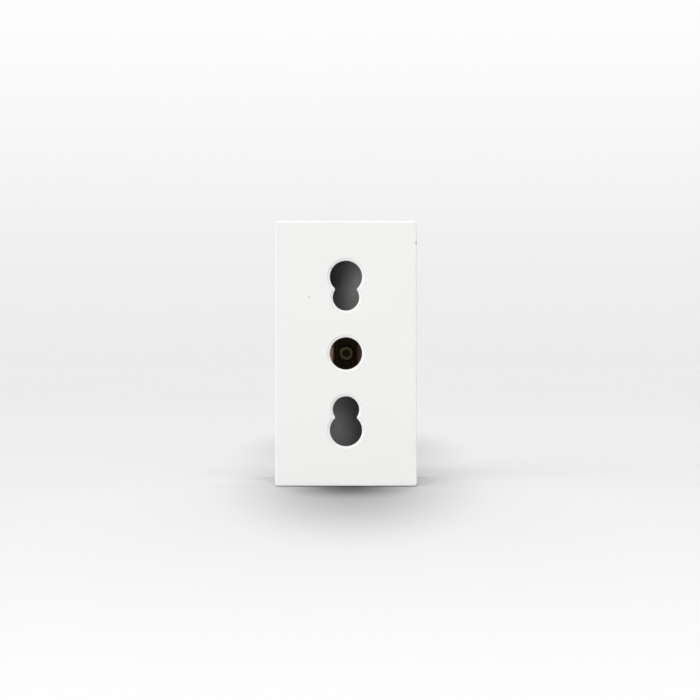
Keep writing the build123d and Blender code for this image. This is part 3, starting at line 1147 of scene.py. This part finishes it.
@dataclass
class ShutterUnit:
    """Shutter behind the pin holes and the torsion spring that turns it back.

    Attributes:
        node: The shutter's node.
        spring_node: The spring's node.
        finish: The shutter's finish.
        spring_finish: The spring's finish.
        wire_d: Diameter of the spring's wire.
        coil_h: Height of the coil between the centres of its end turns.
        turns: Number of turns.
        leg: Length of each leg.
        steps: Steps in a turn.
        sides: Sides of the wire.
        crease: Angle in degrees past which an edge of the spring stays sharp.
    """

    node: str = "shutter"
    spring_node: str = "shutter_spring"
    finish: MouldedPlastic = SHUTTER_PLASTIC
    spring_finish: WorkedMetal = SPRING_STEEL
    wire_d: float = 0.42 * MM
    coil_h: float = 1.38 * MM
    turns: int = 3
    leg: float = 7.0 * MM
    steps: int = 40
    sides: int = 14
    crease: float = 60.0

    def build(self) -> list[bpy.types.Object]:
        """Dress the shutter and make its spring."""
        return [dress(self.node, self.finish), self.spring()]

    def spring(self) -> bpy.types.Object:
        """Wind a close coil around the tube, with legs on the shutter and the inner plate.

        Returns:
            The spring's object.
        """
        low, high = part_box(self.spring_node)
        radius = high.z - self.wire_d / 2
        back = (low.y + high.y + self.coil_h) / 2
        rise = self.coil_h / (self.turns * FULL_TURN * radius)
        start = Matrix.Translation((0.0, back, -radius)) @ Matrix.Rotation(FULL_TURN / 4, 4, "Y")
        form = bmesh.new()
        bmesh.ops.create_circle(
            form, cap_ends=True, segments=self.sides, radius=self.wire_d / 2, matrix=start
        )
        fixed_end = form.faces[:]
        steps = self.turns * self.steps
        wound = bmesh.ops.spin(
            form,
            geom=form.verts[:] + form.edges[:] + form.faces[:],
            cent=(0.0, 0.0, 0.0),
            axis=(0.0, 1.0, 0.0),
            dvec=(0.0, -self.coil_h / steps, 0.0),
            angle=self.turns * FULL_TURN,
            steps=steps,
        )
        along = Vector((self.leg, rise * self.leg, 0.0))
        for end, way in ((fixed_end, along), (faces_of(wound["geom_last"]), -along)):
            drawn = bmesh.ops.extrude_face_region(form, geom=end)
            bmesh.ops.translate(form, verts=corners_of(drawn["geom"]), vec=way)
            bmesh.ops.delete(form, geom=end, context="FACES_ONLY")
        made = to_solid("return_spring", form, self.crease)
        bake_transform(made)
        stand_for(made, self.spring_node, self.spring_finish)
        return made


@dataclass
class Contacts:
    """Live metal: the clips that grip the pins, their strips and the rivets between them.

    Attributes:
        clip_finish: Finish of the line and neutral clips.
        earth_finish: Finish of the earth clip.
        strip_finish: Finish of the strips.
        rivet_finish: Finish of the rivets.
        strip_t: Thickness of a strip.
        ear: How far a strip's flange stands out past its tail, above and below.
    """

    clip_finish: WorkedMetal = CLIP_BRONZE
    earth_finish: WorkedMetal = EARTH_BRONZE
    strip_finish: WorkedMetal = STRIP_BRASS
    rivet_finish: WorkedMetal = RIVET_BRASS
    strip_t: float = 0.8 * MM
    ear: float = 0.9 * MM

    def build(self) -> list[bpy.types.Object]:
        """Dress the clips and the rivets, and make the strips.

        Returns:
            The pieces.
        """
        pieces = [dress("contact_rivets", self.rivet_finish)]
        for pole in Pole:
            clip_finish = self.earth_finish if pole is Pole.EARTH else self.clip_finish
            pieces.append(dress(pole.named("clip"), clip_finish))
            pieces.append(self.strip(pole.named("strip")))
        return pieces

    def strip(self, node: str) -> bpy.types.Object:
        """Make a strip with ears on its flange, which close the front of the cage.

        Args:
            node: Name of the strip's node.

        Returns:
            The strip's object.
        """
        low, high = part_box(node)
        flange_x = low.x + self.strip_t
        form = bmesh.new()
        form.from_mesh(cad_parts[node].data)
        bmesh.ops.remove_doubles(form, verts=form.verts[:], dist=MERGE_DISTANCE)
        bmesh.ops.bisect_plane(
            form,
            geom=form.verts[:] + form.edges[:] + form.faces[:],
            dist=MERGE_DISTANCE,
            plane_co=(flange_x, 0.0, 0.0),
            plane_no=(1.0, 0.0, 0.0),
        )
        for edge_z, way in ((low.z, -self.ear), (high.z, self.ear)):
            rim = [
                face
                for face in form.faces
                if face.calc_center_median().x > flange_x
                and all(abs(corner.co.z - edge_z) < PLANE_DISTANCE for corner in face.verts)
            ]
            drawn = bmesh.ops.extrude_face_region(form, geom=rim)
            bmesh.ops.translate(form, verts=corners_of(drawn["geom"]), vec=(0.0, 0.0, way))
            bmesh.ops.delete(form, geom=rim, context="FACES")
        made = to_solid(f"{node}_eared", form)
        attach(made, "housing")
        stand_for(made, node, self.strip_finish)
        return made


@dataclass
class Terminal:
    """Screw terminal of one pole: folded cage, clamp plate and screw.

    Attributes:
        pole: Pole that it serves.
        finish: Finish of all its pieces.
        head_h: Height of the screw's head.
        head_edge: Rounding of the head's edge.
        edge_steps: Steps of that rounding.
        shank_r: Radius over the thread.
        pitch: Pitch of the thread.
        thread_h: Height of the thread over its core.
        ridge_root: Height of the whole ridge, whose foot lies in the core, against the thread's.
        ridge_half: Half of the ridge's width against the pitch.
        tip: Length of the bevelled tip.
        slot_w: Width of the slot and of the cross.
        slot_d: Depth of the slot.
        cross_l: Length of the cross over its wings.
        cross_d: Depth of the cross.
        cross_taper: Share of the cross's size that is left at its bottom.
        steps: Steps around the screw.
    """

    pole: Pole
    finish: WorkedMetal = PLATED_STEEL
    head_h: float = 1.9 * MM
    head_edge: float = 0.5 * MM
    edge_steps: int = 5
    shank_r: float = 1.75 * MM
    pitch: float = 0.6 * MM
    thread_h: float = 0.34 * MM
    ridge_root: float = 1.15
    ridge_half: float = 0.44
    tip: float = 0.4 * MM
    slot_w: float = 0.9 * MM
    slot_d: float = 1.0 * MM
    cross_l: float = 3.4 * MM
    cross_d: float = 1.4 * MM
    cross_taper: float = 0.72
    steps: int = 48

    def build(self) -> list[bpy.types.Object]:
        """Dress the cage and the clamp plate, and make the screw."""
        dressed = [dress(self.pole.named(piece), self.finish) for piece in ("cage", "clamp")]
        return [*dressed, self.screw()]

    def screw(self) -> bpy.types.Object:
        """Make a screw with a thread, a rounded head and a drive for two kinds of tool.

        Returns:
            The screw's object.
        """
        node = self.pole.named("screw")
        low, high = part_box(node)
        axis = Vector((0.0, (low.y + high.y) / 2, (low.z + high.z) / 2))
        head_r = (high.y - low.y) / 2
        core = to_solid(f"{node}_core", self.core(axis, low.x, high.x, head_r))
        carve(core, self.drive_tools(axis, high.x, head_r))
        form = bmesh.new()
        form.from_mesh(core.data)
        self.add_thread(form, axis, low.x + self.tip, high.x - self.head_h)
        bpy.data.meshes.remove(core.data)
        made = to_solid(f"{node}_turned", form)
        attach(made, self.pole.named("screw_unit"))
        stand_for(made, node, self.finish)
        return made

    def core(self, axis: Vector, tip_x: float, top_x: float, head_r: float) -> bmesh.types.BMesh:
        """Turn the head and the core of the shank.

        Args:
            axis: Point on the screw's axis, which runs along X.
            tip_x: Place of the tip.
            top_x: Place of the head's top.
            head_r: Radius of the head.

        Returns:
            The turned form.
        """
        core_r = self.shank_r - self.thread_h
        head_x = top_x - self.head_h
        outline = (
            (tip_x, 0.0),
            (tip_x, core_r - self.tip / 2),
            (tip_x + self.tip, core_r),
            (head_x, core_r),
            (head_x, head_r),
            (top_x, head_r),
            (top_x, 0.0),
        )
        form = bmesh.new()
        corners = [form.verts.new(axis + Vector((x, r, 0.0))) for x, r in outline]
        for pair in zip(corners, corners[1:]):
            form.edges.new(pair)
        bmesh.ops.spin(
            form,
            geom=form.verts[:] + form.edges[:],
            cent=axis,
            axis=(1.0, 0.0, 0.0),
            angle=FULL_TURN,
            steps=self.steps,
            use_merge=True,
        )
        bmesh.ops.remove_doubles(form, verts=form.verts[:], dist=MERGE_DISTANCE)
        bmesh.ops.recalc_face_normals(form, faces=form.faces[:])
        on_rim = [
            edge
            for edge in form.edges
            if edge.calc_face_angle(0.0) > math.radians(SHARP_ANGLE)
            and all(abs(corner.co.x - top_x) < MERGE_DISTANCE for corner in edge.verts)
        ]
        round_edges(form, on_rim, self.head_edge, self.edge_steps)
        return form

    def drive_tools(self, axis: Vector, top_x: float, head_r: float) -> list[bpy.types.Object]:
        """Make the shapes that cut the slot and the two arms of the cross.

        Args:
            axis: Point on the screw's axis.
            top_x: Place of the head's top.
            head_r: Radius of the head.

        Returns:
            One closed shape for each cut.
        """
        over = self.head_edge
        slot = (self.slot_d, 2 * (head_r + over), self.slot_w, 1.0)
        arm_y = (self.cross_d, self.cross_l, self.slot_w, self.cross_taper)
        arm_z = (self.cross_d, self.slot_w, self.cross_l, self.cross_taper)
        tools = []
        for number, (depth, width, height, taper) in enumerate((slot, arm_y, arm_z)):
            form = bmesh.new()
            middle = axis + Vector((top_x + (over - depth) / 2, 0.0, 0.0))
            size = Matrix.Diagonal((depth + over, width, height, 1.0))
            bmesh.ops.create_cube(form, size=1.0, matrix=Matrix.Translation(middle) @ size)
            bottom = [corner for corner in form.verts if corner.co.x < middle.x]
            bmesh.ops.scale(
                form,
                verts=bottom,
                vec=(1.0, taper, taper),
                space=Matrix.Translation(-middle),
            )
            tools.append(to_solid(f"drive_tool_{number}", form))
        return tools

    def add_thread(self, form: bmesh.types.BMesh, axis: Vector, start: float, end: float) -> None:
        """Wind the ridge of the thread onto the shank.

        Args:
            form: Form that gets the ridge.
            axis: Point on the screw's axis.
            start: Place of the thread's start along X.
            end: Place up to which it may run.
        """
        turns = int((end - start) / self.pitch) - 1
        foot_r = self.shank_r - self.thread_h * self.ridge_root
        half = self.pitch * self.ridge_half
        section = ((0.0, foot_r), (half, self.shank_r), (2 * half, foot_r))
        corners = [form.verts.new(axis + Vector((start + x, r, 0.0))) for x, r in section]
        ridge = form.faces.new(corners)
        steps = turns * self.steps
        bmesh.ops.spin(
            form,
            geom=[*corners, *ridge.edges, ridge],
            cent=axis,
            axis=(1.0, 0.0, 0.0),
            dvec=(self.pitch * turns / steps, 0.0, 0.0),
            angle=turns * FULL_TURN,
            steps=steps,
        )


@dataclass(frozen=True)
class Lamp:
    """Broad, even lamp.

    Attributes:
        name: Name of its object.
        toward: Direction of its light.
        strength: Light on a surface that faces it.
        spread: Angle in degrees over which the light comes.
    """

    name: str
    toward: Point
    strength: float
    spread: float

    def build(self) -> bpy.types.Object:
        """Set the lamp.

        Returns:
            The lamp's object.
        """
        data = bpy.data.lights.new(self.name, "SUN")
        data.energy = self.strength
        data.angle = math.radians(self.spread)
        made = bpy.data.objects.new(self.name, data)
        made.rotation_euler = Vector(self.toward).to_track_quat("-Z", "Y").to_euler()
        bpy.context.collection.objects.link(made)
        return made


@dataclass
class Studio:
    """Pale floor, soft light and a camera straight in front of the face.

    Attributes:
        image_px: Side of the picture.
        px_per_mm: Scale of the picture at the face.
        centre_px: Where the middle of the face lies in the picture.
        sensor: Width of the camera's sensor in millimetres.
        distance: From the face to the camera.
        clip: Nearest and farthest distance that the camera sees.
        sheet: Finish of the floor.
        gap: From the floor to the module.
        fall: Drop of the floor in front of the face, as a slope.
        crease_y: Where the floor starts to fall.
        crease_reach: How far the rounding of that crease reaches.
        crease_steps: Steps of that rounding.
        front: Reach of the floor to the front.
        back: Reach of the floor to the back.
        side: Reach of the floor to each side.
        sky_tones: Display greys of the backdrop by the height of the view.
        dark_side: Share of the backdrop's light that gloss shows straight in front of the face.
        dark_span: Directions along Y between which that dimming fades out.
        ambient: Even light from all round.
        lamps: The lamps.
    """

    image_px: float = 700.0
    px_per_mm: float = 5.91
    centre_px: tuple[float, float] = (345.95, 353.45)
    sensor: float = 36.0
    distance: float = 450.0 * MM
    clip: Span = (0.01, 20.0)
    sheet: PaleSheet = FLOOR_SHEET
    gap: float = 0.01 * MM
    fall: float = 0.176
    crease_y: float = 0.8 * MM
    crease_reach: float = 1.5 * MM
    crease_steps: int = 12
    front: float = 0.9
    back: float = 3.0
    side: float = 1.6
    sky_tones: Tones = (
        (-0.12, 255.0),
        (-0.02, 236.0),
        (0.0, 236.0),
        (0.04, 240.0),
        (0.08, 247.0),
        (0.13, 254.0),
    )
    dark_side: float = 0.5
    dark_span: Span = (-0.97, -0.75)
    ambient: float = 0.35
    lamps: tuple[Lamp, ...] = (
        Lamp("back_light", toward=(0.0, -0.7, -1.0), strength=1.1, spread=60.0),
        Lamp("key_light", toward=(0.06, 1.0, -1.0), strength=1.45, spread=40.0),
        Lamp("left_fill", toward=(0.8, 1.0, -0.15), strength=0.8, spread=50.0),
        Lamp("right_fill", toward=(-0.8, 1.0, -0.15), strength=0.08, spread=50.0),
    )

    def build(self) -> list[bpy.types.Object]:
        """Set the floor, the backdrop, the lamps and the camera.

        Returns:
            The objects of the studio.
        """
        floor = self.floor()
        self.backdrop()
        bpy.context.scene.view_settings.view_transform = "Standard"
        return [floor, *(lamp.build() for lamp in self.lamps), self.camera()]

    def floor(self) -> bpy.types.Object:
        """Lay a level floor under the module that falls away in front of it.

        Returns:
            The floor's object.
        """
        level = CAD_BOX[0].z - self.gap
        outline = (
            (-self.front, level + (self.crease_y - self.front) * self.fall),
            (self.crease_y, level),
            (self.back, level),
        )
        form = bmesh.new()
        corners = [form.verts.new((-self.side, y, z)) for y, z in outline]
        lines = [form.edges.new(pair) for pair in zip(corners, corners[1:])]
        drawn = bmesh.ops.extrude_edge_only(form, edges=lines)
        bmesh.ops.translate(form, verts=corners_of(drawn["geom"]), vec=(2 * self.side, 0.0, 0.0))
        crease = [edge for edge in form.edges if len(edge.link_faces) == 2]
        round_edges(form, crease, self.crease_reach, self.crease_steps)
        for face in form.faces:
            if face.normal.z < 0:
                face.normal_flip()
        floor = to_object("floor", form)
        floor.data.materials.append(self.sheet.material())
        return floor

    def backdrop(self) -> None:
        """Even light for the scene, and a soft change of grey where the backdrop is seen."""
        world = bpy.data.worlds.new("backdrop")
        world.use_nodes = True
        bpy.context.scene.world = world
        wiring = Wiring(world.node_tree)
        way = wiring.add("ShaderNodeTexCoord").outputs["Generated"]
        ways = wiring.add("ShaderNodeSeparateXYZ", {"Vector": way}).outputs
        tone = wiring.greys(ways["Z"], self.sky_tones)
        rays = wiring.add("ShaderNodeLightPath").outputs
        mirrored = wiring.remap(ways["Y"], *self.dark_span, self.dark_side, 1.0)
        strength = wiring.math("MAXIMUM", rays["Is Camera Ray"], mirrored)
        seen = wiring.math("MAXIMUM", rays["Is Camera Ray"], rays["Is Glossy Ray"])
        seen = wiring.math("MAXIMUM", seen, rays["Is Transmission Ray"])
        even = {"Color": opaque((1.0, 1.0, 1.0)), "Strength": self.ambient}
        light = wiring.add("ShaderNodeBackground", even)
        view = wiring.add("ShaderNodeBackground", {"Color": tone, "Strength": strength})
        both = wiring.add(
            "ShaderNodeMixShader",
            {"Fac": seen, 1: light.outputs["Background"], 2: view.outputs["Background"]},
        )
        wiring.add("ShaderNodeOutputWorld", {"Surface": both.outputs["Shader"]})

    def camera(self) -> bpy.types.Object:
        """Set the camera on the line of sight that puts the face where the picture has it.

        Returns:
            The camera's object.
        """
        half = self.image_px / 2
        across = (half - self.centre_px[0]) / self.px_per_mm * MM
        up = (self.centre_px[1] - half) / self.px_per_mm * MM
        data = bpy.data.cameras.new("camera")
        data.sensor_width = self.sensor
        data.lens = self.sensor * self.distance / (self.image_px / self.px_per_mm * MM)
        data.clip_start, data.clip_end = self.clip
        made = bpy.data.objects.new("camera", data)
        made.location = (across, -self.distance, up)
        made.rotation_euler = (FULL_TURN / 4, 0.0, 0.0)
        bpy.context.collection.objects.link(made)
        bpy.context.scene.camera = made
        return made


def main() -> None:
    """Build and dress each sub-assembly, then set the studio."""
    logging.basicConfig(level=logging.INFO, format="%(name)s: %(message)s")
    terminals = [Terminal(pole) for pole in Pole]
    for assembly in (Cover(), Body(), ShutterUnit(), Contacts(), *terminals, Studio()):
        for piece in assembly.build():
            LOG.info("%s: %s", type(assembly).__name__, piece.name)


if __name__ == "__main__":
    main()
